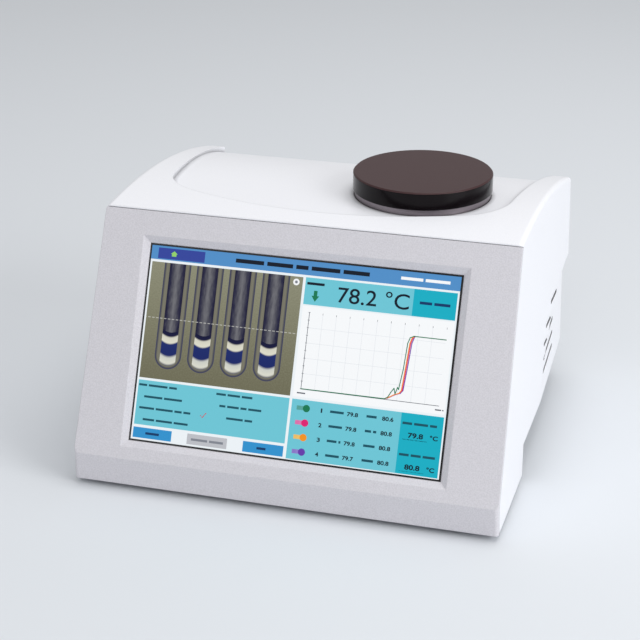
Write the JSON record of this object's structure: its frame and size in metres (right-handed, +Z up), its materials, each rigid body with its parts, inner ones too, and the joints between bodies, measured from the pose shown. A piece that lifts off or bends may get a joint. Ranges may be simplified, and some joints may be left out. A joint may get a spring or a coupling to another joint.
{
  "type": "melting point apparatus",
  "caption": "Bench-top melting point apparatus: white wedge housing, sloping touchscreen, lift-off lid over the furnace, vented sides, and rear sockets, switch and fan.",
  "frame": {"origin": "on the bench under the middle of the box", "axes": "+X to the right as seen from the front, +Y from front to back, +Z up"},
  "size_m": [0.29, 0.274, 0.1914],
  "materials": {
    "cover_white": "smooth white moulded plastic, softly glossy",
    "panel_grey": "pale grey moulded plastic with a fine texture",
    "screen_glass": "clear cover glass over the screen picture",
    "screen_module": "dark screen module",
    "foam_black": "black foam",
    "sheet_steel": "bare sheet steel",
    "brass_parts": "turned brass",
    "circuit_board": "green circuit board",
    "lid_brown": "satin black-brown anodised finish",
    "ceramic_white": "unglazed white ceramic",
    "ring_metal": "turned metal ring",
    "block_aluminium": "machined aluminium",
    "clear_glass": "clear glass",
    "plastic_black": "black plastic",
    "rocker_black": "glossy black plastic",
    "plate_grey": "powder-coated light grey sheet",
    "screw_steel": "plated screws",
    "socket_metal": "tinned metal shell",
    "foot_rubber": "black rubber"
  },
  "bodies": {
    "housing": {"top_cover": "cover_white", "front_panel": "panel_grey", "touch_glass": "screen_glass", "display_gasket": "foam_black", "lcd_module": "screen_module", "display_frame": "sheet_steel", "display_spacers": "brass_parts", "display_board": "circuit_board", "collar_ring": "ring_metal", "furnace_can": "sheet_steel", "insulation": "ceramic_white", "heating_block": "block_aluminium", "cartridge_heaters": "sheet_steel", "temperature_probe": "sheet_steel", "capillary_guide": "ceramic_white", "sight_glass": "clear_glass", "backlight": "circuit_board", "furnace_stand": "sheet_steel", "camera_body": "plastic_black", "camera_lens": "plastic_black", "camera_bracket": "sheet_steel", "base_plate": "plate_grey", "rear_panel": "plate_grey", "fan_frame": "plastic_black", "fan_screws": "screw_steel", "power_inlet": "plastic_black", "inlet_pins": "brass_parts", "switch_frame": "plastic_black", "usb_socket": "socket_metal", "lan_socket": "socket_metal", "serial_socket": "socket_metal", "serial_posts": "screw_steel", "main_board": "circuit_board", "board_spacers": "brass_parts", "power_supply": "sheet_steel", "front_feet": "foot_rubber", "rear_legs": "plastic_black", "rear_pads": "foot_rubber", "foot_screws": "screw_steel", "panel_screws": "screw_steel", "display_screws": "screw_steel", "base_screws": "screw_steel", "rear_screws": "screw_steel", "stand_screws": "screw_steel"},
    "lid": {"lid": "lid_brown", "lid_insulator": "ceramic_white"},
    "fan_rotor": {"fan_rotor": "plastic_black"},
    "power_rocker": {"power_rocker": "rocker_black"},
    "fuse_drawer": {"fuse_drawer": "plastic_black", "fuses": "clear_glass"}
  },
  "joints": [
    {"name": "lid_lift", "type": "slide", "parent": "housing", "child": "lid", "axis": [0, 0, 1], "range_m": [0, 0.06]},
    {"name": "fan_spin", "type": "hinge", "parent": "housing", "child": "fan_rotor", "pos_m": [0.056, 0.119, 0.096], "axis": [0, 1, 0], "continuous": true},
    {"name": "rocker_tilt", "type": "hinge", "parent": "housing", "child": "power_rocker", "pos_m": [-0.1, 0.1285, 0.108], "axis": [1, 0, 0], "range_deg": [0, 18]},
    {"name": "fuse_drawer_slide", "type": "slide", "parent": "housing", "child": "fuse_drawer", "axis": [0, 1, 0], "range_m": [0, 0.018]}
  ]
}
